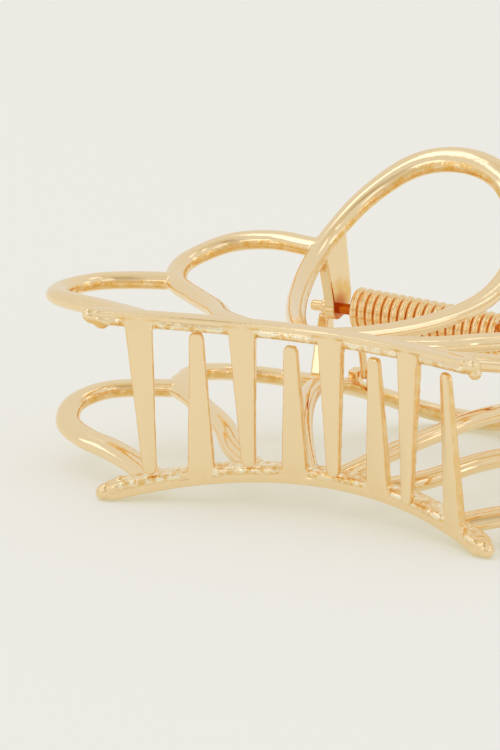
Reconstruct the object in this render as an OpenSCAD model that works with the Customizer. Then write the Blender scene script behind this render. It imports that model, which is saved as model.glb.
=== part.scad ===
// Open-work claw hair clip: two cast jaws with interlocking teeth on a sprung hinge
// Lengths are in millimetres and angles in degrees

/* [Comb bar] */
// Distance between the centres of the two rounded bar ends
comb_chord = 56.2; // [54:0.1:58]
// How far the middle of the bar lies behind its ends
comb_bow = 9.1; // [8.6:0.1:9.6]
// Front to back size of the bar
bar_depth = 2.8; // [2.4:0.1:3.2]
// Height of the bar
bar_height = 2.3; // [2:0.1:2.6]
// How much shorter the upper bar is at its right end, as it was trimmed
upper_trim = 0.9; // [0:0.1:1.2]

/* [Teeth] */
// Scale of the tooth positions along the bar
tooth_spread = 1; // [0.98:0.005:1.015]
// Width of a tooth where it meets the bar
tooth_root = 3.8; // [3:0.1:4]
// Width of a tooth just above its rounded tip
tooth_tip = 2.0; // [1.5:0.1:2.3]
// Front to back thickness of a tooth at the bar
tooth_thick = 1.3; // [1:0.1:1.6]
// Front to back thickness of a tooth at its tip
tooth_thin = 0.9; // [0.6:0.1:1]
// Space left between the tip of the shortest teeth and the other bar
tooth_gap = 0.4; // [0.35:0.05:0.8]

/* [Petals] */
// Thickness of the petal tubes, measured across the sheet of the jaw
tube_thick = 2.4; // [2:0.1:2.7]
// Scale of the tube widths in the petal tables
tube_scale = 1; // [0.85:0.05:1.1]

/* [Hinge] */
// Diameter of the hinge pin
pin_d = 1.5; // [1.2:0.1:1.6]
// Radial space between the pin and the eyes of the ears
pin_gap = 0.03; // [0.02:0.01:0.06]
// Thickness of one ear along the pin
ear_thick = 1.55; // [1.2:0.05:1.6]
// Length of pin that shows outside the outer ear
pin_stub = 1.0; // [0.6:0.1:1.5]

/* [Spring] */
// Wire diameter of the torsion spring
wire_d = 1.08; // [0.9:0.02:1.1]
// Outer diameter of the coil
coil_d = 6.2; // [6:0.1:6.4]
// Number of turns in the coil
coil_turns = 18; // [16:1:18]
// Length of the coil along the pin
coil_length = 22; // [21.6:0.1:22.4]
// How far the loose coil leans across the pin, in degrees
coil_lean = 3.1; // [2:0.1:3.2]
// How far the loose coil hangs below the pin
coil_sag = 0.38; // [0.3:0.02:0.4]

/* [Hidden] */
// Corners around a tube, and rings in each row of a petal table
tube_sides = 10;
row_rings = 2;
// Corners are set out a little so that the flats straddle the true oval
corner_out = 1.035;
// Short steps along a table and along the sheet, to find their directions
row_step = 0.02;
back_step = 0.1;

// Side view that both jaws share: how high the sheet of a jaw lies above the
// middle plane at each distance behind the comb ends
// Columns: back, rise
rise_step = 8;
rise_rows = [
  [-8, 15.2],
  [0, 12.5],
  [8, 10.2],
  [16, 8.55],
  [24, 7.85],
  [32, 8.25],
  [40, 10.6],
  [48, 15.0],
  [56, 21.2],
  [64, 28]
];

// Plan view of the petals, seen from above and for the left side only
// Columns: side, back, tube width
centre_half = [
  [2.1, 9.1, 2.7],
  [5.8, 14.9, 2.7],
  [9.1, 20.9, 2.8],
  [11.9, 27.3, 2.9],
  [13.8, 33.9, 3.0],
  [13.9, 40.7, 3.1],
  [11.6, 47.1, 3.4],
  [6.7, 51.9, 3.8]
];
centre_tip = [0, 53.4, 3.9];
middle_rows = [
  [9.3, 8.2, 3.2],
  [14.7, 11.9, 3.2],
  [19.2, 16.9, 3.2],
  [24.4, 21.0, 3.1],
  [29.6, 25.3, 3.1],
  [31.7, 31.3, 3.1],
  [28.2, 36.7, 3.1],
  [22.0, 38.7, 3.1],
  [14.8, 38.3, 3.1]
];
outer_rows = [
  [22.2, 3.4, 3.6],
  [26.7, 5.9, 3.6],
  [31.4, 8.0, 3.6],
  [36.3, 9.6, 3.5],
  [40.5, 12.3, 3.4],
  [42.1, 16.9, 3.3],
  [40.1, 21.4, 3.2],
  [35.7, 23.9, 3.1],
  [30.4, 25.4, 3.1]
];
// A thick corner where two petals meet, on one side only
knuckle_rows = [
  [28.4, 23.6, 2.6],
  [29.6, 25.2, 4.2],
  [30.9, 27.0, 4.0],
  [31.5, 28.6, 2.8]
];
centre_rows = concat(
  [for (r = centre_half) [-r.x, r.y, r.z]],
  [centre_tip],
  [for (i = [len(centre_half) - 1 : -1 : 0]) centre_half[i]]
);

// Cross section of the comb bar: a flat strip in front and round elsewhere
// Columns: share of half the depth, share of half the height
bar_section = [
  [-1.07, -0.28],
  [-0.8, -0.74],
  [-0.28, -0.96],
  [0.44, -0.96],
  [0.86, -0.72],
  [1.0, 0],
  [0.82, 0.66],
  [0.36, 0.97],
  [-0.28, 1.03],
  [-0.93, 1.0],
  [-1.07, 0.78]
];
// Rounded ends of the bar
// Columns: distance past the end centre, share of the full section
bar_end = [
  [-3.2, 1.0],
  [-1.2, 1.0],
  [0, 0.98],
  [0.55, 0.86],
  [0.9, 0.62],
  [1.13, 0.28]
];
bar_rings = 22;

// Teeth of each jaw, with the jaw laid above the pin; spacing, lean and length
// differ a little between the two castings
// Columns: distance right of the middle, sideways shift of the tip, forward lean
// of the tip, length added
upper_teeth = [
  [-22.9, 0.1, 0, 0],
  [-9.9, -0.08, 0.55, 0.3],
  [2.9, 0, 1.1, 0.3],
  [16.0, 0, 1.6, 0.55]
];
lower_teeth = [
  [-23.0, 0, 0, 0.15],
  [-9.3, -0.35, -0.3, 0.04],
  [3.7, -0.5, 0, 0],
  [16.5, -0.44, -0.9, 0.2]
];
// Outline of a tooth from root to tip
// Columns: share of the length, share of the taper, share of the end rounding
tooth_form = [
  [-0.03, 0, 1],
  [0.16, 0.22, 1],
  [0.34, 0.38, 1],
  [0.66, 0.75, 1],
  [0.955, 1, 1],
  [0.985, 1, 0.8],
  [1, 1, 0.5]
];
// How far the face of a tooth stands in front of the bar's strip
tooth_proud = 0.08;

// Hinge line: distance behind the comb ends, in the middle plane
hinge_back = 41.8;
ear_space = 0.1;
inner_face = 13.8;
inner_out = inner_face + ear_thick;
outer_face = inner_out + ear_space;
outer_out = outer_face + ear_thick;
pin_half = outer_out + pin_stub;
pin_sides = 48;
inner_eye_r = 1.6;
outer_eye_r = 1.2;
outer_eye_wide = 0.8;
outer_eye_back = hinge_back + 0.1;
// Ear outlines in side view, for a jaw that lies above the pin
// Columns: back, height
inner_ear = [
  [38.8, 9.5],
  [39.4, 6.0],
  [40.2, 1.6],
  [40.4, -0.8],
  [40.9, -1.35],
  [41.8, -1.6],
  [43.2, -1.5],
  [44.6, -0.9],
  [45.4, 0.2],
  [45.6, 1.2],
  [45.4, 5.0],
  [44.9, 12.4],
  [42.5, 11.2]
];
outer_ear = [
  [37.9, 10.4],
  [38.2, 8.6],
  [39.9, 4.6],
  [41.6, 1.15],
  [43.1, 1.15],
  [43.0, 4.6],
  [42.2, 8.0],
  [41.8, 11.2]
];
// The narrow neck that carries the eye of the outer ear
outer_neck = [
  [41.9, 0],
  [41.7, 1.6],
  [43.1, 1.6],
  [43.1, 0]
];

// Torsion spring
coil_mean = (coil_d - wire_d) / 2;
coil_steps = 12;
leg_steps = 2;
wire_sides = 6;
leg_back = 44.6;
leg_side = 12;
// Clear space between the wire and the tube above it, and beside it in the catch
leg_clear = 0.15;
catch_clear = 0.12;
leg_foot = rise(leg_back) - tube_thick / 2 - wire_d / 2 - leg_clear;
catch_deep = 1.9;
catch_tall = 2.9;
// The two prongs of the catch
// Columns: side of the leg, width along the pin
catch_prongs = [
  [1, 1.5],
  [-1, 0.8]
];
// Course of a leg near its foot in the catch
// Columns: outwards from the foot, backwards, share of the foot's height
leg_foot_rows = [
  [0, 0, 1],
  [0.05, -0.1, 0.8],
  [0.1, -0.15, 0.55]
];
// Course of a leg near the coil, measured from the coil's end
// Columns: outwards, backwards, away from the middle plane
leg_coil_rows = [
  [0.5, 0.2, 3.6],
  [0.06, 0.03, 1.4],
  [0, 0, 0]
];

// Resting attitude on a table: the clip lies on the two ends of the lower comb
// bar and on the tip of the lower handle
rest_tilt = 7.26;
rest_lift = 13.657;
rest_back = -27.05;

// Smooth value between rows of a table, by a cubic through neighbouring rows
function cubic(a, b, c, d, t) =
  0.5 * (2 * b + (c - a) * t + (2 * a - 5 * b + 4 * c - d) * t * t
  + (3 * b - a - 3 * c + d) * t * t * t);
function row(rows, i) =
  i < 0 ? 2 * rows[0] - rows[1]
  : i >= len(rows) ? 2 * rows[len(rows) - 1] - rows[len(rows) - 2]
  : rows[i];
function along(rows, u) =
  let (i = max(0, min(floor(u), len(rows) - 2)))
  cubic(row(rows, i - 1), row(rows, i), row(rows, i + 1), row(rows, i + 2), u - i);
function rise(back) = along(rise_rows, (back - rise_rows[0].x) / rise_step).y;
function slope(back) = (rise(back + back_step) - rise(back - back_step)) / (2 * back_step);
function unit(v) = v / norm(v);

// Centre of a petal tube at table position u, laid on the sheet of the jaw
function on_sheet(p) = [p.x, p.y, rise(p.y)];
function tube_ring(rows, u) =
  let (
    p = along(rows, u),
    run = unit(on_sheet(along(rows, u + row_step)) - on_sheet(along(rows, u - row_step))),
    up = unit([0, -slope(p.y), 1]),
    across = unit(cross(up, run)),
    half = p.z * tube_scale * corner_out / 2,
    high = tube_thick * corner_out / 2
  )
  [for (k = [0 : tube_sides - 1])
    let (a = 360 * (k + 0.5) / tube_sides)
    on_sheet(p) + across * half * cos(a) + up * high * sin(a)];

// Closed skin over a stack of rings that all have the same number of corners
module skin(rings) {
  n = len(rings[0]);
  m = len(rings);
  sides = [for (i = [0 : m - 2], k = [0 : n - 1])
    let (a = i * n + k, b = i * n + (k + 1) % n)
    each [[a, a + n, b], [b, a + n, b + n]]];
  polyhedron(
    points = [for (r = rings, q = r) q],
    faces = concat(
      [[for (k = [0 : n - 1]) k]],
      sides,
      [[for (k = [n - 1 : -1 : 0]) (m - 1) * n + k]]
    ),
    convexity = 8
  );
}

module petal(rows) {
  steps = (len(rows) - 1) * row_rings;
  skin([for (i = [0 : steps]) tube_ring(rows, i / row_rings)]);
}

// The comb bar is a shallow arc that follows the sheet of the jaw
function comb_back(side) = comb_bow * (1 - pow(2 * side / comb_chord, 2));
function comb_turn(side) = atan(-8 * comb_bow * side / pow(comb_chord, 2));
function comb_centre(side) = [side, comb_back(side), rise(comb_back(side))];
function bar_ring(side, share) =
  let (
    turn = comb_turn(side),
    behind = [-sin(turn), cos(turn), 0]
  )
  [for (s = bar_section)
    comb_centre(side) + behind * s.x * share * bar_depth / 2
    + [0, 0, s.y * share * bar_height / 2]];

module comb_bar(trim) {
  left = -comb_chord / 2;
  right = comb_chord / 2 - trim;
  first = left - bar_end[0].x;
  last = right + bar_end[0].x;
  skin(concat(
    [for (i = [len(bar_end) - 1 : -1 : 0]) bar_ring(left - bar_end[i].x, bar_end[i].y)],
    [for (i = [1 : bar_rings - 1]) bar_ring(first + (last - first) * i / bar_rings, 1)],
    [for (e = bar_end) bar_ring(right + e.x, e.y)]
  ));
}

// A tooth stands on the bar with its flat face in front
module tooth(side, tip_shift, tip_lean, longer) {
  foot = comb_centre(side);
  turn = comb_turn(side);
  length = 2 * foot.z - bar_height / 2 - tooth_gap + longer;
  front = bar_section[0].x * bar_depth / 2 - tooth_proud;
  translate(foot)
    rotate([0, 0, turn])
      skin([for (f = tooth_form)
        let (
          z = -f.x * length,
          wide = (tooth_root + (tooth_tip - tooth_root) * f.y) * f.z / 2,
          mid = tip_shift * f.y,
          face = front - tip_lean * f.x,
          back = face + tooth_thick + (tooth_thin - tooth_thick) * f.x
        )
        [[mid - wide, face, z], [mid - wide, back, z],
         [mid + wide, back, z], [mid + wide, face, z]]]);
}

// Puts a side view outline in place, from one height along the pin to another
module side_plate(from, to) {
  translate([from, 0, 0])
    rotate([90, 0, 90])
      linear_extrude(height = to - from)
        children();
}

module pin_rod(half, d) {
  translate([-half, hinge_back, 0])
    rotate([0, 90, 0])
      cylinder(h = 2 * half, d = d, $fn = pin_sides);
}

module ears() {
  side_plate(-inner_out, -inner_face) {
    polygon(inner_ear);
    translate([hinge_back, 0]) circle(r = inner_eye_r, $fn = pin_sides);
  }
  side_plate(outer_face, outer_out) polygon(outer_ear);
  side_plate(outer_face, outer_face + outer_eye_wide) {
    polygon(outer_neck);
    translate([outer_eye_back, 0]) circle(r = outer_eye_r, $fn = pin_sides);
  }
}

// Two small prongs under the right leg of the handle hold the spring's leg
module spring_catch() {
  for (c = catch_prongs)
    translate([
      leg_side + c.x * (wire_d / 2 + catch_clear + c.y / 2),
      leg_back,
      rise(leg_back) - catch_tall / 2
    ])
      cube([c.y, catch_deep, catch_tall], center = true);
}

module jaw(teeth, trim) {
  difference() {
    union() {
      comb_bar(trim);
      petal(centre_rows);
      petal(knuckle_rows);
      for (s = [-1, 1]) {
        petal([for (r = middle_rows) [s * r.x, r.y, r.z]]);
        petal([for (r = outer_rows) [s * r.x, r.y, r.z]]);
      }
      for (t = teeth)
        tooth(t.x * tooth_spread, t.y, t.z, t[3]);
      ears();
      spring_catch();
    }
    pin_rod(outer_out + 1, pin_d + 2 * pin_gap);
  }
}

// Lays the closed clip on the table
module rest() {
  translate([0, rest_back, rest_lift])
    rotate([rest_tilt, 0, 0])
      children();
}

module jaw_upper() {
  color("Gold") rest() jaw(upper_teeth, upper_trim);
}

// The lower jaw has the same form, turned over about the front to back line
module jaw_lower() {
  color("Goldenrod") rest() rotate([0, 180, 0]) jaw(lower_teeth, 0);
}

module hinge_pin() {
  color("Peru") rest() pin_rod(pin_half, pin_d);
}

// The coil lies loose on the pin, leaning and hanging a little
function lean(p) =
  [p.x * cos(coil_lean) + p.z * sin(coil_lean),
   p.y + hinge_back,
   p.z * cos(coil_lean) - p.x * sin(coil_lean) - coil_sag];
function coil_point(i) =
  let (a = 360 * i / coil_steps)
  lean([coil_length * (i / coil_last - 0.5), coil_mean * cos(a), coil_mean * sin(a)]);
coil_last = coil_steps * coil_turns;
// A leg of the wire from its foot in the catch (s is -1 below, 1 above) to the
// end of the coil
function leg_rows(end, s) = concat(
  [for (r = leg_foot_rows) [s * (leg_side + r.x), leg_back + r.y, s * leg_foot * r.z]],
  [for (r = leg_coil_rows) end + [s * r.x, r.y, s * r.z]]
);
function leg(end, s) =
  let (rows = leg_rows(end, s))
  [for (i = [0 : leg_steps * (len(rows) - 1) - 1]) along(rows, i / leg_steps)];
upper_leg = leg(coil_point(coil_last), 1);
// The wire runs up from the lower catch, round the coil and up to the upper catch
wire_route = concat(
  leg(coil_point(0), -1),
  [for (i = [0 : coil_last]) coil_point(i)],
  [for (i = [len(upper_leg) - 1 : -1 : 0]) upper_leg[i]]
);
function wire_ring(i) =
  let (
    last = len(wire_route) - 1,
    run = unit(wire_route[min(i + 1, last)] - wire_route[max(i - 1, 0)]),
    along_pin = unit([1, 0, 0] - run * run.x),
    out = cross(run, along_pin)
  )
  [for (k = [0 : wire_sides - 1])
    let (a = 360 * k / wire_sides)
    wire_route[i] + (along_pin * cos(a) + out * sin(a)) * wire_d / 2];

module spring() {
  color("DarkOrange") rest() skin([for (i = [0 : len(wire_route) - 1]) wire_ring(i)]);
}

jaw_upper();
jaw_lower();
hinge_pin();
spring();
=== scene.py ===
import bpy
import math
from mathutils import Matrix, Vector
from mathutils.kdtree import KDTree


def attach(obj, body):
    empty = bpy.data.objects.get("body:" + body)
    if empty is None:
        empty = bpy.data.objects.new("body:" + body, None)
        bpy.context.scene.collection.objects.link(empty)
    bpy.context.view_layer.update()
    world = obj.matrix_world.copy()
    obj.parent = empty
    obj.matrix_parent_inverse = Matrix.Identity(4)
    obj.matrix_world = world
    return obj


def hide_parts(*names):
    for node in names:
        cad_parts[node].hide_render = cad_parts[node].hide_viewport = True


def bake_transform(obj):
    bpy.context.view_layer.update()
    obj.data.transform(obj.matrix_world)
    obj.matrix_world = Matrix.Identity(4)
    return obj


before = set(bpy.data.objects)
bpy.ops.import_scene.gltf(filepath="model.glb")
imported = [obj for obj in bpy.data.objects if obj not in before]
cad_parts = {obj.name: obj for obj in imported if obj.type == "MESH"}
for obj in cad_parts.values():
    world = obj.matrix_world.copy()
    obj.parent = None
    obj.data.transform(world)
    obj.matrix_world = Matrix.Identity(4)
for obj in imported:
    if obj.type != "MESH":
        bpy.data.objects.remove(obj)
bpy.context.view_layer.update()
print("frame loaded")

# The clip is drawn in millimetres and degrees: x along the pin, y back from the comb, z up
mm = 0.001
rest = {"tilt": 7.26, "lift": 13.657, "back": -27.05}  # how the closed clip lies on the table
restMatrix = Matrix.Translation(Vector((0, rest["back"], rest["lift"])) * mm) @ \
    Matrix.Rotation(math.radians(rest["tilt"]), 4, "X") @ Matrix.Scale(mm, 4)


def cubic(a, b, c, d, t):
    first, second, third = c - a, 2 * a - 5 * b + 4 * c - d, 3 * b - a - 3 * c + d
    return 0.5 * (2 * b + first * t + second * t * t + third * t ** 3)


def along(rows, u):
    # a smooth curve through the rows, where u counts them
    last = len(rows) - 1
    i = max(0, min(int(math.floor(u)), last - 1))
    before = rows[i - 1] if i > 0 else [2 * p - q for p, q in zip(rows[0], rows[1])]
    after = rows[i + 2] if i + 2 <= last else [2 * p - q for p, q in zip(rows[last], rows[last - 1])]
    return [cubic(a, b, c, d, u - i) for a, b, c, d in zip(before, rows[i], rows[i + 1], after)]


def mirrored(rows, s):
    return [(s * r[0], r[1], r[2]) for r in rows]


def turns(count):
    return [2 * math.pi * k / count for k in range(count)]


def skin(mesh, rings):
    # a closed skin over rings that all have the same number of points
    verts, faces = mesh
    start, n = len(verts), len(rings[0])
    for ring in rings:
        verts.extend(ring)
    for i in range(len(rings) - 1):
        for k in range(n):
            a, b = start + i * n + k, start + i * n + (k + 1) % n
            faces.append((a, b, b + n, a + n))
    faces.append([start + k for k in reversed(range(n))])
    faces.append([start + (len(rings) - 1) * n + k for k in range(n)])


jaw = {
    "riseStart": -8, "riseStep": 8,
    "rise": [15.2, 12.5, 10.2, 8.55, 7.85, 8.25, 10.6, 15.0, 21.2, 28.0],  # side view of the sheet
    "tubeThick": 2.4,
    # side, back, tube width; the left half only
    "handle": [
        (2.1, 9.1, 2.7), (5.8, 14.9, 2.7), (9.1, 20.9, 2.8), (11.9, 27.3, 2.9), (13.8, 33.9, 3.0),
        (13.9, 40.7, 3.1), (11.6, 47.1, 3.4), (6.7, 51.9, 3.8),
    ],
    "handleTip": (0, 53.4, 3.9),
    "middle": [
        (9.3, 8.2, 3.2), (14.7, 11.9, 3.2), (19.2, 16.9, 3.2), (24.4, 21.0, 3.1), (29.6, 25.3, 3.1),
        (31.7, 31.3, 3.1), (28.2, 36.7, 3.1), (22.0, 38.7, 3.1), (14.8, 38.3, 3.1),
    ],
    "outer": [
        (22.2, 3.4, 3.6), (26.7, 5.9, 3.6), (31.4, 8.0, 3.6), (36.3, 9.6, 3.5), (40.5, 12.3, 3.4),
        (42.1, 16.9, 3.3), (40.1, 21.4, 3.2), (35.7, 23.9, 3.1), (30.4, 25.4, 3.1),
    ],
    # a thick corner where two petals meet, on one side only
    "knuckle": [(28.4, 23.6, 2.6), (29.6, 25.2, 4.2), (30.9, 27.0, 4.0), (31.5, 28.6, 2.8)],
    "sides": 24, "ringsPerRow": 9,
    "rowStep": 0.02, "backStep": 0.1,  # short steps that find the direction of a tube and of the sheet
    "voxel": 0.205,                    # grain of the cast surface
    "soften": 5,                       # rounds of smoothing, which also fill the inner corners
}


def rise(back):
    return along([(z,) for z in jaw["rise"]], (back - jaw["riseStart"]) / jaw["riseStep"])[0]


def slope(back):
    step = jaw["backStep"]
    return (rise(back + step) - rise(back - step)) / (2 * step)


def onSheet(p):
    return Vector((p[0], p[1], rise(p[1])))


def tubeRun(rows, u):
    step = jaw["rowStep"]
    return onSheet(along(rows, u + step)) - onSheet(along(rows, u - step))


def tube(mesh, rows):
    steps = (len(rows) - 1) * jaw["ringsPerRow"]
    rings = []
    for i in range(steps + 1):
        u = i / jaw["ringsPerRow"]
        p = along(rows, u)
        run = tubeRun(rows, u).normalized()
        up = Vector((0, -slope(p[1]), 1)).normalized()
        across = up.cross(run).normalized()
        wide, thick = p[2] / 2, jaw["tubeThick"] / 2
        rings.append([onSheet(p) + across * (wide * math.cos(a)) + up * (thick * math.sin(a))
                      for a in turns(jaw["sides"])])
    skin(mesh, rings)


def petals(mesh):
    tube(mesh, [*mirrored(jaw["handle"], -1), jaw["handleTip"], *reversed(jaw["handle"])])
    for s in (-1, 1):
        tube(mesh, mirrored(jaw["middle"], s))
        tube(mesh, mirrored(jaw["outer"], s))
    tube(mesh, jaw["knuckle"])


bar = {
    "chord": 56.2, "bow": 9.1,
    # front to back, height: round the inner side and the back to the top of the flat front strip
    "section": [
        (-1.2, -0.6), (-0.9, -0.95), (-0.45, -1.1), (0.2, -1.13), (0.8, -1.1), (1.18, -0.92),
        (1.38, -0.5), (1.4, 0), (1.3, 0.45), (1.02, 0.84), (0.6, 1.08), (0.1, 1.17), (-0.6, 1.19),
        (-1.25, 1.17), (-1.44, 1.08), (-1.5, 0.93),
    ],
    "stripFoot": [(-1.5, 0.1), (-1.38, 0), (-1.34, -0.2)],  # height above the strip's lower edge
    # distance past the centre of the end ball, share of the section
    "ends": [(-2.2, 1.0), (-1.2, 1.0), (-0.7, 0.97), (-0.35, 0.9), (-0.15, 0.8)],
    "rings": 60,
    "ball": 1.13, "ballBack": -0.1,    # the round ends
    # how the rounded bead between the teeth swells from a tooth: distance, share of its size
    "beadEnds": [(0.08, 0.5), (0.35, 0.78), (0.8, 0.93), (1.6, 1.0)],
    "beadInset": 0.2, "beadRings": 12, "beadSides": 24,
    "voxel": 0.145, "soften": 3,       # as for the jaw, but finer
}


def barCentre(side):
    # seen from above, the bar follows a parabola
    back = bar["bow"] * (1 - (2 * side / bar["chord"]) ** 2)
    return Vector((side, back, rise(back)))


def barTurn(side):
    return math.atan(-8 * bar["bow"] * side / bar["chord"] ** 2)


def barPoint(side, back, height):
    turn = barTurn(side)
    return barCentre(side) + Vector((-math.sin(turn), math.cos(turn), 0)) * back + Vector((0, 0, height))


def ball(mesh, side, back, height, size, sides=28):
    rings = []
    for i in range(1, sides // 2):
        tip = 2 * math.pi * i / sides
        rings.append([barPoint(side - size * math.cos(tip), back - size * math.sin(tip) * math.cos(c),
                               height - size * math.sin(tip) * math.sin(c)) for c in turns(sides)])
    skin(mesh, rings)


castings = {  # the two differ a little
    "upper": {
        # side, shift of the tip sideways and forwards, gap to the other bar
        "teeth": [
            (-22.9, 0.1, 0, 0.4), (-9.9, -0.08, 0.55, 0.1), (2.9, 0, 1.1, 0.1),
            (16.0, 0, 1.6, -0.15),
        ],
        "ends": (-28.1, 27.2),         # the right one was trimmed
        "lumps": [(-27.2, -0.2, -0.75, 0.95), (27.7, 0, -0.95, 0.8)],  # side, back, height, radius
        "strip": 0.42,                 # height of the lower edge of the strip
        "bead": (-0.84, -0.14, 0.96, 0.7),  # back, height, half its depth and height
        "barRawAndReflection": (0, 0.95),           # how raw the bar is outside and inside; the deep gold inside, on the underside, is partly painted reflection
    },
    "lower": {
        "teeth": [
            (-23.0, 0.0, 0, 0.25), (-9.3, -0.35, -0.3, 0.36), (3.7, -0.5, 0, 0.4),
            (16.5, -0.44, -0.9, 0.2),
        ],
        "ends": (-28.1, 28.1),
        "lumps": [(26.4, 0.2, -0.85, 0.7)],
        "strip": 0.05,
        "bead": (-0.72, -0.52, 0.96, 0.62),
        "barRawAndReflection": (0.05, 0.2),
    },
}


def combBar(mesh, casting):
    left, right = casting["ends"]
    margin = -bar["ends"][0][0]
    plain = right - left - 2 * margin
    stations = [(left - past, share) for past, share in reversed(bar["ends"])]
    stations += [(left + margin + plain * i / bar["rings"], 1) for i in range(1, bar["rings"])]
    stations += [(right + past, share) for past, share in bar["ends"]]
    section = bar["section"] + [(back, casting["strip"] + height) for back, height in bar["stripFoot"]]
    skin(mesh, [[barPoint(side, back * share, height * share) for back, height in section]
                for side, share in stations])
    for side in (left, right):
        ball(mesh, side, bar["ballBack"], 0, bar["ball"])
    for lump in casting["lumps"]:
        ball(mesh, *lump)


def beads(mesh, casting):
    # a rounded bead lies along the bar between each two teeth, and outside the last ones
    left, right = casting["ends"]
    back, height, deep, tall = casting["bead"]
    swell, count = bar["beadEnds"], bar["beadRings"]
    edges = [left + bar["beadInset"]]
    for side, *_ in casting["teeth"]:
        edges += [side - teeth["root"] / 2, side + teeth["root"] / 2]
    edges.append(right - bar["beadInset"])
    for start, end in zip(edges[::2], edges[1::2]):
        first, last = start + swell[-1][0], end - swell[-1][0]
        spots = [(start + past, share) for past, share in swell]
        spots += [(first + (last - first) * i / count, 1) for i in range(1, count)]
        spots += [(end - past, share) for past, share in reversed(swell)]
        skin(mesh, [[barPoint(x, back - deep * share * math.cos(c), height - tall * share * math.sin(c))
                     for c in turns(bar["beadSides"])] for x, share in spots])


teeth = {
    "root": 3.8, "tip": 2.0, "thick": 1.3, "thin": 0.9, "front": -1.52,
    "bevel": 0.32, "crown": 0.1,
    "bevelSide": 0.3, "bevelFront": 0.35,  # where the bevel bends, as shares of it
    # share of the length, of the taper, and of the end rounding
    "form": [
        (-0.038, 0, 1), (0.16, 0.22, 1), (0.34, 0.38, 1), (0.66, 0.75, 1), (0.94, 0.98, 1),
        (0.962, 1, 0.97), (0.978, 1, 0.88), (0.99, 1, 0.74), (1.0, 1, 0.5),
    ],
}


def tooth(mesh, side, tipShift, lean, gap):
    foot, turn = barCentre(side), barTurn(side)
    place = Matrix.Translation(foot) @ Matrix.Rotation(turn, 4, "Z")
    length = 2 * foot.z - bar["ball"] - gap
    front, bevel, crown = teeth["front"], teeth["bevel"], teeth["crown"]
    inwards, forwards = bevel * teeth["bevelSide"], bevel * teeth["bevelFront"]
    rings = []
    for share, taper, end in teeth["form"]:
        wide = (teeth["root"] + (teeth["tip"] - teeth["root"]) * taper) * end / 2
        mid = tipShift * taper
        back = front + teeth["thick"] + (teeth["thin"] - teeth["thick"]) * share
        outline = [(-wide, front + bevel), (-wide, back), (wide, back), (wide, front + bevel),
                   (wide - inwards, front + forwards), (wide - bevel, front + crown), (0, front),
                   (bevel - wide, front + crown), (inwards - wide, front + forwards)]
        rings.append([place @ Vector((mid + x, y - lean * share, -share * length)) for x, y in outline])
    skin(mesh, rings)


def plate(mesh, outline, start, end):
    skin(mesh, [[Vector((x, y, z)) for y, z in outline] for x in (start, end)])


def disc(mesh, back, radius, start, end, sides=40):
    plate(mesh, [(back + radius * math.cos(a), radius * math.sin(a)) for a in turns(sides)], start, end)


hinge = {
    "back": 41.8, "innerFace": 13.8, "ear": 1.55, "space": 0.1,
    "innerEye": (41.8, 1.6), "outerEye": (41.9, 1.2), "outerEyeWide": 0.8,
    # ear outlines in side view: back, height
    "innerEar": [
        (38.8, 9.5), (39.4, 6.0), (40.2, 1.6), (40.3, 0.2), (40.4, -0.8), (40.9, -1.35), (41.8, -1.6),
        (43.2, -1.5), (44.6, -0.9), (45.4, 0.2), (45.6, 1.2), (45.4, 5.0), (44.9, 12.4), (42.5, 11.2),
    ],
    "outerEar": [
        (37.9, 10.4), (38.2, 8.6), (39.9, 4.6), (41.6, 1.15), (43.1, 1.15), (43.0, 4.6), (42.2, 8.0),
        (41.8, 11.2),
    ],
    "outerNeck": [(41.9, 0), (41.7, 1.6), (43.1, 1.6), (43.1, 0)],
}


def ears(mesh):
    innerOut = hinge["innerFace"] + hinge["ear"]
    outerFace = innerOut + hinge["space"]
    outerOut = outerFace + hinge["ear"]
    plate(mesh, hinge["innerEar"], -innerOut, -hinge["innerFace"])
    disc(mesh, *hinge["innerEye"], -innerOut, -hinge["innerFace"])
    plate(mesh, hinge["outerEar"], outerFace, outerOut)
    disc(mesh, *hinge["outerEye"], outerFace, outerFace + hinge["outerEyeWide"])
    plate(mesh, hinge["outerNeck"], outerFace, outerFace + hinge["outerEyeWide"])


catch = {
    "back": 44.6, "side": 12.0,        # where a leg of the spring stands in it
    "prongs": (1.5, 0.8),              # their widths
    "clear": 0.12, "half": 0.95, "tall": 2.9,  # gap to the wire, half its depth, its height
}


def springCatch(mesh):
    top = rise(catch["back"])
    foot = top - catch["tall"]
    front, back = catch["back"] - catch["half"], catch["back"] + catch["half"]
    outline = [(front, foot), (back, foot), (back, top), (front, top)]
    for s, wide in zip((1, -1), catch["prongs"]):
        near = catch["side"] + s * (coil["wire"] / 2 + catch["clear"])
        plate(mesh, outline, min(near, near + s * wide), max(near, near + s * wide))


# the marks tell the metal where it is raw, where it is grainy with painted highlights and painted orange
# spots, and where painted shade lies round the pin
marks = {
    # each pair says where a mark begins and where it is full
    # the rims' grain also carries painted highlights
    "rim": (0.8, 0.9), "rimGrainAndGlint": 0.52,    # how squarely a rim faces the inside of its petal
    "rimSpots": 15,                         # points per table row that tell which way is inside
    "earsFrom": 20, "ears": 0.15,           # how far back the ears begin, how raw they are
    "towardsSpring": (0.3, 0.8),            # how squarely an ear faces the spring
    "toothBelow": 1.25,                     # a tooth begins so far below the middle of the bar
    "tooth": (0.95, 0.75),                  # how squarely a tooth faces the front
    "toothRaw": 0.65, "toothGrain": 0.1,
    "inside": (-0.05, 0.35),                # how squarely the bar faces the hair
    "belowStrip": (0, 0.25), "besideTooth": (-0.1, 0.2),
    "smoothEnds": (27.2, 25.4),             # distance from the middle of the bar
}
# painted shade and deep red reflection round the pin, in the nook between the ears and the spring coil
pinNook = {
    "near": 0.9, "middle": 3.0, "far": 5.5,  # distances from the pin
    "ears": 0.9, "side": 15.4,
    "pin": (11.0, 11.8, 13.7, 14.2),         # along the pin: begins, full, still full, ends
}


def ramp(value, none, full):
    share = max(0, min(1, (value - none) / (full - none)))
    return share * share * (3 - 2 * share)


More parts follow.
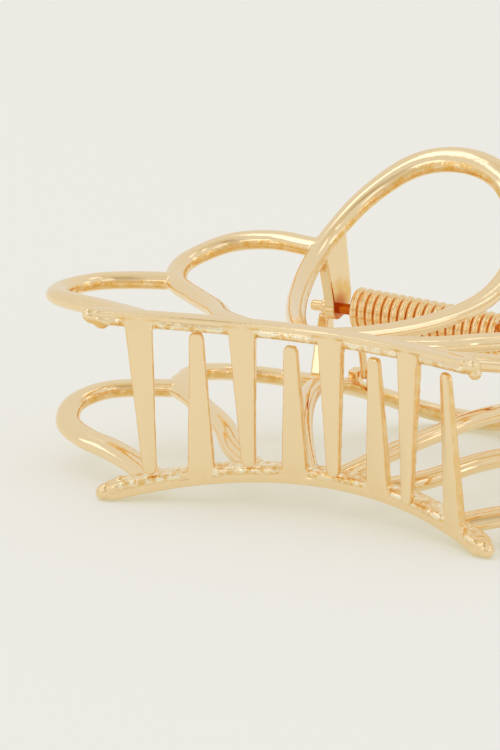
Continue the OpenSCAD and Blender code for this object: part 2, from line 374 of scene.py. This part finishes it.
def setMarks(data, raw, grainAndGlint, nookShade):
    for key, values in (("raw", raw), ("grainAndGlint", grainAndGlint), ("nookShade", nookShade)):
        data.attributes.new(key, "FLOAT", "POINT").data.foreach_set("value", values)


def markRims(data):
    # the inner rims of the petals are as they were cast, not polished
    courses = [[*jaw["handle"], jaw["handleTip"], *mirrored(jaw["handle"], -1)[::-1]]]
    courses += [mirrored(jaw[k], s) for k in ("middle", "outer") for s in (-1, 1)]
    spots = []
    for rows in courses:
        middle = sum((onSheet(r) for r in rows), Vector()) / len(rows)
        for i in range(marks["rimSpots"] * (len(rows) - 1) + 1):
            u = i / marks["rimSpots"]
            p, run = onSheet(along(rows, u)), tubeRun(rows, u)
            across = Vector((run.y, -run.x, 0)).normalized()
            spots.append((p, across if across.dot(middle - p) > 0 else -across))
    tree = KDTree(len(spots))
    for i, spot in enumerate(spots):
        tree.insert(spot[0], i)
    tree.balance()
    raw = []
    for v, n in zip(data.vertices, data.vertex_normals):
        inwards = spots[tree.find(v.co)[1]][1]
        raw.append(ramp(n.vector.dot(inwards), *marks["rim"]))
    return raw, [marks["rimGrainAndGlint"] * share for share in raw], [0] * len(raw)


def earMarks(p, n):
    # painted shade and reflection: beside the spring the ear turns deeper gold and then dark red, most
    # of all next to the pin
    facing = -n.x if p.x > 0 else n.x
    beside = ramp(facing, *marks["towardsSpring"]) if abs(p.x) < pinNook["side"] else 0
    away = math.hypot(p.y - hinge["back"], p.z)
    raw = max(marks["ears"], beside * ramp(away, pinNook["far"], pinNook["middle"]))
    return raw, 0, pinNook["ears"] * beside * ramp(away, pinNook["middle"], pinNook["near"])


def toothMarks(p, n):
    # the sides of a tooth are raw, its face is polished
    turn = barTurn(p.x)
    share = ramp(n.x * math.sin(turn) - n.y * math.cos(turn), *marks["tooth"])
    return marks["toothRaw"] * share, marks["toothGrain"] * share, 0


def barMarks(p, n, height, casting):
    # the bead and the inner side of the bar are rough, the strip and the round ends are smooth; the
    # rough share also gets painted highlights, and the deep gold inner side of the upper bar is painted
    # reflection as well as raw metal
    fromTooth = min(abs(p.x - row[0]) for row in casting["teeth"]) - teeth["root"] / 2
    below = ramp(casting["strip"] - height, *marks["belowStrip"])
    rough = below * ramp(fromTooth, *marks["besideTooth"]) * ramp(abs(p.x), *marks["smoothEnds"])
    outside, inside = casting["barRawAndReflection"]
    return outside + (inside - outside) * ramp(-n.z, *marks["inside"]), rough, 0


def markComb(data, casting):
    rows = []
    for v, n in zip(data.vertices, data.vertex_normals):
        p, n = v.co, n.vector
        height = p.z - barCentre(p.x).z
        if p.y > marks["earsFrom"]:
            rows.append(earMarks(p, n))
        elif height < -marks["toothBelow"]:
            rows.append(toothMarks(p, n))
        else:
            rows.append(barMarks(p, n, height, casting))
    return zip(*rows)


def addPiece(name, data, marked, flip=False):
    setMarks(data, *marked)
    turn = Matrix.Rotation(math.pi, 4, "Y") if flip else Matrix.Identity(4)
    data.transform(restMatrix @ turn)
    data.shade_smooth()
    piece = bpy.data.objects.new(name, data)
    bpy.context.collection.objects.link(piece)
    return piece


def meshFrom(name, mesh):
    verts, faces = mesh
    data = bpy.data.meshes.new(name)
    data.from_pydata([tuple(v) for v in verts], [], faces)
    return data


remesh = {
    "draft": 1.6,   # how many times coarser a draft is
    "factor": 0.5,  # strength of each round of smoothing
}


def castPiece(name, mesh, form, mark, node, body, flip):
    shells = bpy.data.objects.new(name + "Shells", meshFrom(name + "Shells", mesh))
    bpy.context.collection.objects.link(shells)
    join = shells.modifiers.new("join", "REMESH")
    join.mode = "VOXEL"
    join.voxel_size = form["voxel"] * 1
    soft = shells.modifiers.new("soften", "SMOOTH")
    soft.factor = remesh["factor"]
    soft.iterations = form["soften"]
    solid = bpy.data.meshes.new_from_object(shells.evaluated_get(bpy.context.evaluated_depsgraph_get()))
    bpy.data.objects.remove(shells)
    solid.name = name
    piece = addPiece(name, solid, mark(solid), flip)
    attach(piece, body)
    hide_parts(node)
    print(name, "built with", len(solid.polygons), "faces")
    return piece


def castJaw(side, node, flip):
    casting = castings[side]
    petalMesh, combMesh = ([], []), ([], [])
    petals(petalMesh)
    combBar(combMesh, casting)
    beads(combMesh, casting)
    for row in casting["teeth"]:
        tooth(combMesh, *row)
    ears(combMesh)
    springCatch(combMesh)
    return [
        castPiece(side + "Petals", petalMesh, jaw, markRims, node, side, flip),
        castPiece(side + "Comb", combMesh, bar, lambda data: markComb(data, casting), node, side, flip),
    ]


rod = {
    "wide": 1.5, "stub": 1.0,          # it sticks out of the outer ears
    "rounded": [(0, 0.18), (0.06, 0.07), (0.2, 0)],  # distance from the end, how much thinner there
    "plainFrom": 0.4, "sides": 40, "rings": 120,
}


def hingePin():
    half = hinge["innerFace"] + 2 * hinge["ear"] + hinge["space"] + rod["stub"]
    radius, margin, count = rod["wide"] / 2, rod["plainFrom"], rod["rings"]
    rounded = [(half - fromEnd, radius - thinner) for fromEnd, thinner in rod["rounded"]]
    plain = [(-half + margin + (2 * half - 2 * margin) * i / count, radius) for i in range(count + 1)]
    rings = []
    for x, r in [(-x, r) for x, r in rounded] + plain + rounded[::-1]:
        rings.append([Vector((x, hinge["back"] + r * math.cos(a), r * math.sin(a)))
                      for a in turns(rod["sides"])])
    mesh = ([], [])
    skin(mesh, rings)
    data = meshFrom("pin", mesh)
    # painted shade and deep red reflection on the pin between the spring and the ears
    begins, full, stillFull, stops = pinNook["pin"]
    nookShade = [ramp(abs(v.co.x), begins, full) * ramp(abs(v.co.x), stops, stillFull) for v in data.vertices]
    piece = addPiece("pin", data, ([0] * len(nookShade), [0] * len(nookShade), nookShade))
    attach(piece, "lower")
    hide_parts("hinge_pin")
    return piece


coil = {
    "half": 11.0, "outer": 6.2, "wire": 1.08, "turns": 18, "stepsPerTurn": 32, "wireSides": 14,
    "lean": 3.1, "sag": 0.38,          # it sits loose on the pin
    "legClear": 0.15, "legSteps": 6,
    # course of a leg near its catch: outwards, backwards, share of the catch's height
    "legFoot": [(0, 0, 1), (0.05, -0.1, 0.8), (0.1, -0.15, 0.55)],
    # and from there to the coil's end: outwards, backwards, away from the middle
    "legCoil": [(0.5, 0.2, 3.6), (0.06, 0.03, 1.4), (0, 0, 0)],
    # heights between which the upper leg goes over from the lower jaw's turn to the upper jaw's
    "follow": (3.5, 8.5),
}


def springRoute():
    mean = (coil["outer"] - coil["wire"]) / 2
    steps = coil["turns"] * coil["stepsPerTurn"]
    lean = Matrix.Rotation(math.radians(coil["lean"]), 3, "Y")
    wound = []
    for i in range(steps + 1):
        a = 2 * math.pi * i / coil["stepsPerTurn"]
        side = -coil["half"] + 2 * coil["half"] * i / steps
        p = lean @ Vector((side, mean * math.cos(a), mean * math.sin(a)))
        wound.append(p + Vector((0, hinge["back"], -coil["sag"])))
    foot = rise(catch["back"]) - jaw["tubeThick"] / 2 - coil["wire"] / 2 - coil["legClear"]
    legs = []
    for end, s in ((wound[0], -1), (wound[-1], 1)):
        rows = [(s * (catch["side"] + out), catch["back"] + back, s * foot * share)
                for out, back, share in coil["legFoot"]]
        rows += [(end.x + s * out, end.y + back, end.z + s * away)
                 for out, back, away in coil["legCoil"]]
        count = coil["legSteps"] * (len(rows) - 1)
        legs.append([Vector(along(rows, i / coil["legSteps"])) for i in range(count)])
    return legs[0] + wound + legs[1][::-1]


def springWire():
    route = springRoute()
    rings, last = [], len(route) - 1
    for i, p in enumerate(route):
        run = (route[min(i + 1, last)] - route[max(i - 1, 0)]).normalized()
        side = (Vector((1, 0, 0)) - run * run.x).normalized()
        out = run.cross(side)
        rings.append([p + (side * math.cos(a) + out * math.sin(a)) * coil["wire"] / 2
                      for a in turns(coil["wireSides"])])
    mesh = ([], [])
    skin(mesh, rings)
    data = meshFrom("springWire", mesh)
    piece = addPiece("springWire", data, [[0] * len(data.vertices)] * 3)
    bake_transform(piece)
    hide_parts("spring")
    return piece


plating = {
    "polished": (0.97, 0.77, 0.48, 1), "raw": (0.88, 0.55, 0.17, 1),
    # nookShade is a painted deep red shade and reflection near the pin
    "wire": (0.97, 0.73, 0.41, 1), "nookShade": (0.62, 0.13, 0.008, 1),
    "mirror": 0.03, "satin": 0.08,       # roughness of polished metal, least and most
    "rawRough": 0.18, "nookShadeRough": 0.25,
    # how many to a metre, and how deep in metres
    "waves": 380, "waveDepth": 0.000018,
    "peel": 1400, "peelDepth": 0.000006,
    "pits": 1500, "pitDepth": 0.0002, "pitEdges": 0.6,
    # how many times finer than the waves, detail, level of the noise that gives the least and the most
    "satinAt": (1.7, 3, 0.3, 0.7), "patchAt": (2, 2, 0.36, 0.56), "wireAt": (3, 2, 0.4, 0.7),
    "patchLeast": 0.5,                   # raw metal is this raw at the least
    "wireRaw": 0.25,                     # and the wire at the most
    "coarseFrom": 0.4,                   # grain above this gets painted highlights and painted orange reflection spots as well
    # painted light: a near-white highlight colour and deep gold reflection spots that noise scatters
    # over the coarse grain
    "paintedHighlight": (1, 0.9, 0.66, 1), "highlightSpots": 1000, "highlightAt": (0.44, 0.6),
    "paintedOrangeAt": (0.42, 0.34), "paintedOrange": 0.8,
}


def goldPlate(name, cast):
    mat = bpy.data.materials.new(name)
    mat.use_nodes = True
    nodes, links = mat.node_tree.nodes, mat.node_tree.links
    shader = nodes["Principled BSDF"]
    shader.inputs["Metallic"].default_value = 1
    place = nodes.new("ShaderNodeTexCoord").outputs["Object"]

    def noise(scale, detail, rough=0.5):
        node = nodes.new("ShaderNodeTexNoise")
        node.inputs["Scale"].default_value = scale
        node.inputs["Detail"].default_value = detail
        node.inputs["Roughness"].default_value = rough
        links.new(place, node.inputs["Vector"])
        return node.outputs["Fac"]

    def spread(value, fromLow, fromHigh, toLow, toHigh):
        node = nodes.new("ShaderNodeMapRange")
        ends = {"From Min": fromLow, "From Max": fromHigh, "To Min": toLow, "To Max": toHigh}
        for key, number in ends.items():
            if isinstance(number, (int, float)):
                node.inputs[key].default_value = number
            else:
                links.new(number, node.inputs[key])
        links.new(value, node.inputs["Value"])
        return node.outputs["Result"]

    def times(one, other):
        node = nodes.new("ShaderNodeMath")
        node.operation = "MULTIPLY"
        for socket, value in zip(node.inputs, (one, other)):
            if isinstance(value, (int, float)):
                socket.default_value = value
            else:
                links.new(value, socket)
        return node.outputs[0]

    def mottle(at, least, most):
        finer, detail, low, high = at
        return spread(noise(plating["waves"] * finer, detail), low, high, least, most)

    def bump(height, depth, under=None, strength=None):
        node = nodes.new("ShaderNodeBump")
        node.inputs["Strength"].default_value = 1
        node.inputs["Distance"].default_value = depth
        links.new(height, node.inputs["Height"])
        if under is not None:
            links.new(under, node.inputs["Normal"])
        if strength is not None:
            links.new(strength, node.inputs["Strength"])
        return node.outputs["Normal"]

    def mark(key):
        node = nodes.new("ShaderNodeAttribute")
        node.attribute_name = key
        return node.outputs["Fac"]

    def mix(share, first, second):
        node = nodes.new("ShaderNodeMix")
        node.data_type = "RGBA"
        links.new(share, node.inputs[0])
        for socket, value in ((node.inputs[6], first), (node.inputs[7], second)):
            if isinstance(value, tuple):
                socket.default_value = value
            else:
                links.new(value, socket)
        return node.outputs[2]

    rough = mottle(plating["satinAt"], plating["mirror"], plating["satin"])
    normal = bump(noise(plating["waves"], 1), plating["waveDepth"])
    normal = bump(noise(plating["peel"], 1), plating["peelDepth"], normal)
    if cast:
        patchy = mottle(plating["patchAt"], plating["patchLeast"], 1)
        raw = times(mark("raw"), patchy)
        colour = mix(raw, plating["polished"], plating["raw"])
        # painted light: on coarse grain the colour gets painted highlights in places and painted deep
        # gold reflections in others
        highlightSpots = noise(plating["highlightSpots"], 1)
        paintedGrainShare = spread(mark("grainAndGlint"), plating["coarseFrom"], 1, 0, 1)
        paintedOrange = spread(highlightSpots, *plating["paintedOrangeAt"], 0, plating["paintedOrange"])
        colour = mix(times(paintedGrainShare, paintedOrange), colour, plating["raw"])
        colour = mix(times(paintedGrainShare, spread(highlightSpots, *plating["highlightAt"], 0, 1)), colour, plating["paintedHighlight"])
        pits = noise(plating["pits"], 2, plating["pitEdges"])
        normal = bump(pits, plating["pitDepth"], normal, times(mark("grainAndGlint"), patchy))
        rough = spread(raw, 0, 1, rough, plating["rawRough"])
    else:
        colour = mix(mottle(plating["wireAt"], 0, plating["wireRaw"]), plating["wire"], plating["raw"])
    links.new(normal, shader.inputs["Normal"])
    # painted shade near the pin turns the colour deep red
    links.new(mix(mark("nookShade"), colour, plating["nookShade"]), shader.inputs["Base Color"])
    rough = spread(mark("nookShade"), 0, 1, rough, plating["nookShadeRough"])
    links.new(rough, shader.inputs["Roughness"])
    return mat


castGold = goldPlate("castGold", True)
drawnGold = goldPlate("drawnGold", False)
upperJaw = castJaw("upper", "jaw_upper", False)
lowerJaw = castJaw("lower", "jaw_lower", True)
pin = hingePin()
spring = springWire()
print("pin and spring built")
for piece in upperJaw + lowerJaw + [pin, spring]:
    piece.data.materials.clear()
    piece.data.materials.append(drawnGold if piece in (pin, spring) else castGold)
print("metal finished")

floor = {  # in metres
    "size": 6.0, "colour": (0.46, 0.48, 0.58, 1), "rough": 0.9,
    "glow": (0.4, 0.375, 0.242, 1),  # painted light: the glow stands for light that the pale surface scatters; it fills the table's shadows and, with the bluish colour, tints them warm like light bounced off the gold
}
bpy.ops.mesh.primitive_plane_add(size=floor["size"])
table = bpy.context.object
table.name = "table"
tableMat = bpy.data.materials.new("tableTop")
tableMat.use_nodes = True
surface = {
    "Base Color": floor["colour"], "Roughness": floor["rough"], "Specular IOR Level": 0,
    "Emission Color": floor["glow"], "Emission Strength": 1,
}
for key, value in surface.items():
    tableMat.node_tree.nodes["Principled BSDF"].inputs[key].default_value = value
table.data.materials.append(tableMat)

# the room as the polished metal sees it: azimuth 0 is in front of the comb and grows to the right
room = {
    "walls": (0.79, 0.78, 0.75), "ceiling": (0.72, 0.67, 0.56), "dark": (0.44, 0.33, 0.16),
    "lamp": (0.9, 0.96, 1.15),
    # a long curved light on the left: azimuth, height
    "arc": [(-158, 30), (-145, 44), (-120, 58), (-100, 62), (-80, 63), (-62, 57), (-50, 50)],
    "arcWide": 4.8, "arcSoft": 2, "arcGain": 0.75,
    "arcEnds": (-4, 2),                  # how far past its ends it is full, and gone
    "arcFade": (-85, -130),              # azimuth where it is full, and gone
    # azimuth, height, half width, half height, soft edge, strength
    "lights": [
        (-66, 41, 5, 14, 2.5, 0.65),     # narrow window on the left
        (-42, 27, 18, 7, 4, 0.12),
        (-15, 36, 12, 6, 2.5, 0.6),
        (-26, 15, 6, 7, 2.5, 0.65),
        (35, 46, 15, 5, 2.5, 0.42),
        (66, 18, 5, 12, 2.5, 0.6),
        (97, 15, 7, 17, 3.5, 0.35),      # strip on the right
        (107, 41, 8, 9, 3, 0.48),
        (72, 76, 9, 7, 3, 0.55),
        (148, 73, 20, 8, 4, 0.5),
    ],
    "above": [(0, 90, 400, 18, 8, 1)],   # the whole ceiling
    "behindCamera": [
        (4, 57, 16, 17, 6, 0.5), (-8, 73, 22, 12, 6, 0.3), (13, 16, 12, 22, 6, 0.2),
        (42, 5, 22, 10, 6, 0.25),
    ],
}


def studioRoom():
    world = bpy.data.worlds.new("studio")
    bpy.context.scene.world = world
    world.use_nodes = True
    nodes, links = world.node_tree.nodes, world.node_tree.links

    def calc(kind, *values):
        node = nodes.new("ShaderNodeMath")
        node.operation = kind
        for socket, value in zip(node.inputs, values):
            if isinstance(value, (int, float)):
                socket.default_value = value
            else:
                links.new(value, socket)
        return node.outputs[0]

    def ease(value, full, none):
        node = nodes.new("ShaderNodeMapRange")
        node.interpolation_type = "SMOOTHSTEP"
        node.inputs["From Min"].default_value, node.inputs["From Max"].default_value = none, full
        links.new(value, node.inputs["Value"])
        return node.outputs["Result"]

    def blurred(off, half, soft):
        return ease(off, half - soft, half + soft)

    towards = nodes.new("ShaderNodeTexCoord")
    split = nodes.new("ShaderNodeSeparateXYZ")
    links.new(towards.outputs["Generated"], split.inputs[0])
    front = calc("MULTIPLY", split.outputs["Y"], -1)
    azimuth = calc("DEGREES", calc("ARCTAN2", split.outputs["X"], front))
    height = calc("DEGREES", calc("ARCSINE", split.outputs["Z"]))
    curve = nodes.new("ShaderNodeFloatCurve")
    points = curve.mapping.curves[0].points
    for i, (az, el) in enumerate(room["arc"]):
        at = ((az + 180) / 360, el / 90)
        if i < 2:  # a new curve has two points already
            points[i].location = at
        else:
            points.new(*at)
    curve.mapping.update()
    links.new(calc("DIVIDE", calc("ADD", azimuth, 180), 360), curve.inputs["Value"])
    offArc = calc("ABSOLUTE", calc("SUBTRACT", height, calc("MULTIPLY", curve.outputs["Value"], 90)))
    first, last = room["arc"][0][0], room["arc"][-1][0]
    middle, half = (first + last) / 2, (last - first) / 2
    full, none = room["arcEnds"]
    offEnds = ease(calc("ABSOLUTE", calc("SUBTRACT", azimuth, middle)), half + full, half + none)
    glow = calc("MULTIPLY", blurred(offArc, room["arcWide"], room["arcSoft"]), offEnds)
    glow = calc("MULTIPLY", glow, ease(azimuth, *room["arcFade"]))

    def patches(rows):
        total = 0
        for az, el, wide, tall, soft, gain in rows:
            offAz = calc("ABSOLUTE", calc("SUBTRACT", azimuth, az))
            offEl = calc("ABSOLUTE", calc("SUBTRACT", height, el))
            patch = calc("MULTIPLY", blurred(offAz, wide, soft), blurred(offEl, tall, soft))
            total = calc("ADD", total, calc("MULTIPLY", patch, gain))
        return total

    def blend(share, first, second):
        node = nodes.new("ShaderNodeMix")
        node.data_type = "RGBA"
        links.new(share, node.inputs[0])
        for socket, value in ((node.inputs[6], first), (node.inputs[7], second)):
            if isinstance(value, tuple):
                socket.default_value = (*value, 1)
            else:
                links.new(value, socket)
        return node.outputs[2]

    tint = blend(patches(room["above"]), room["walls"], room["ceiling"])
    tint = blend(patches(room["behindCamera"]), tint, room["dark"])
    walls = nodes["Background"]
    links.new(tint, walls.inputs["Color"])
    lights = nodes.new("ShaderNodeBackground")
    strength = calc("ADD", calc("MULTIPLY", glow, room["arcGain"]), patches(room["lights"]))
    links.new(strength, lights.inputs["Strength"])
    lights.inputs["Color"].default_value = (*room["lamp"], 1)
    both = nodes.new("ShaderNodeAddShader")
    links.new(walls.outputs[0], both.inputs[0])
    links.new(lights.outputs[0], both.inputs[1])
    links.new(both.outputs[0], nodes["World Output"].inputs["Surface"])


studioRoom()

overhead = {"size": 1.2, "height": 1.3, "aside": (-0.25, -0.2), "power": 3.0}  # in metres and watts
lamp = bpy.data.lights.new("overhead", "AREA")
lamp.size = overhead["size"]
lamp.energy = overhead["power"]
lampObject = bpy.data.objects.new("overhead", lamp)
lampObject.location = (*overhead["aside"], overhead["height"])
lampObject.rotation_euler = (-Vector(lampObject.location)).to_track_quat("-Z", "Y").to_euler()
lampObject.visible_glossy = False  # it lights the table only; the metal reflects the room
bpy.context.collection.objects.link(lampObject)

cameraView = {
    "yaw": 29.4, "down": 21.5, "roll": 3.71,
    "distance": 771.0, "aside": (-4.785, 7.212), "lens": 284.9,
    "clip": (0.01, 20),  # nearest and farthest that it sees, in metres
}
bounces = {"all": 24, "glossy": 16}  # enough for the metal to mirror itself between the spring's turns


def photoCamera():
    yaw, down, roll = (math.radians(cameraView[k]) for k in ("yaw", "down", "roll"))
    side = Vector((math.cos(yaw), math.sin(yaw), 0))
    away = Vector((-math.sin(yaw), math.cos(yaw), 0))
    up = Vector((0, 0, 1)) * math.cos(down) + away * math.sin(down)
    ahead = away * math.cos(down) - Vector((0, 0, 1)) * math.sin(down)
    right = side * math.cos(roll) - up * math.sin(roll)
    top = side * math.sin(roll) + up * math.cos(roll)
    across, upwards = cameraView["aside"]
    spot = right * across + top * upwards - ahead * cameraView["distance"]
    turn = Matrix((right, top, -ahead)).transposed().to_4x4()
    data = bpy.data.cameras.new("camera")
    data.lens = cameraView["lens"]
    data.clip_start, data.clip_end = cameraView["clip"]
    camera = bpy.data.objects.new("camera", data)
    bpy.context.collection.objects.link(camera)
    tilt = Matrix.Rotation(math.radians(rest["tilt"]), 4, "X")
    camera.matrix_world = Matrix.Translation(restMatrix @ spot) @ tilt @ turn
    bpy.context.scene.camera = camera


photoCamera()
bpy.context.scene.view_settings.view_transform = "Standard"
bpy.context.scene.cycles.max_bounces = bounces["all"]
bpy.context.scene.cycles.glossy_bounces = bounces["glossy"]
print("room and camera in place")

bpy.context.view_layer.update()
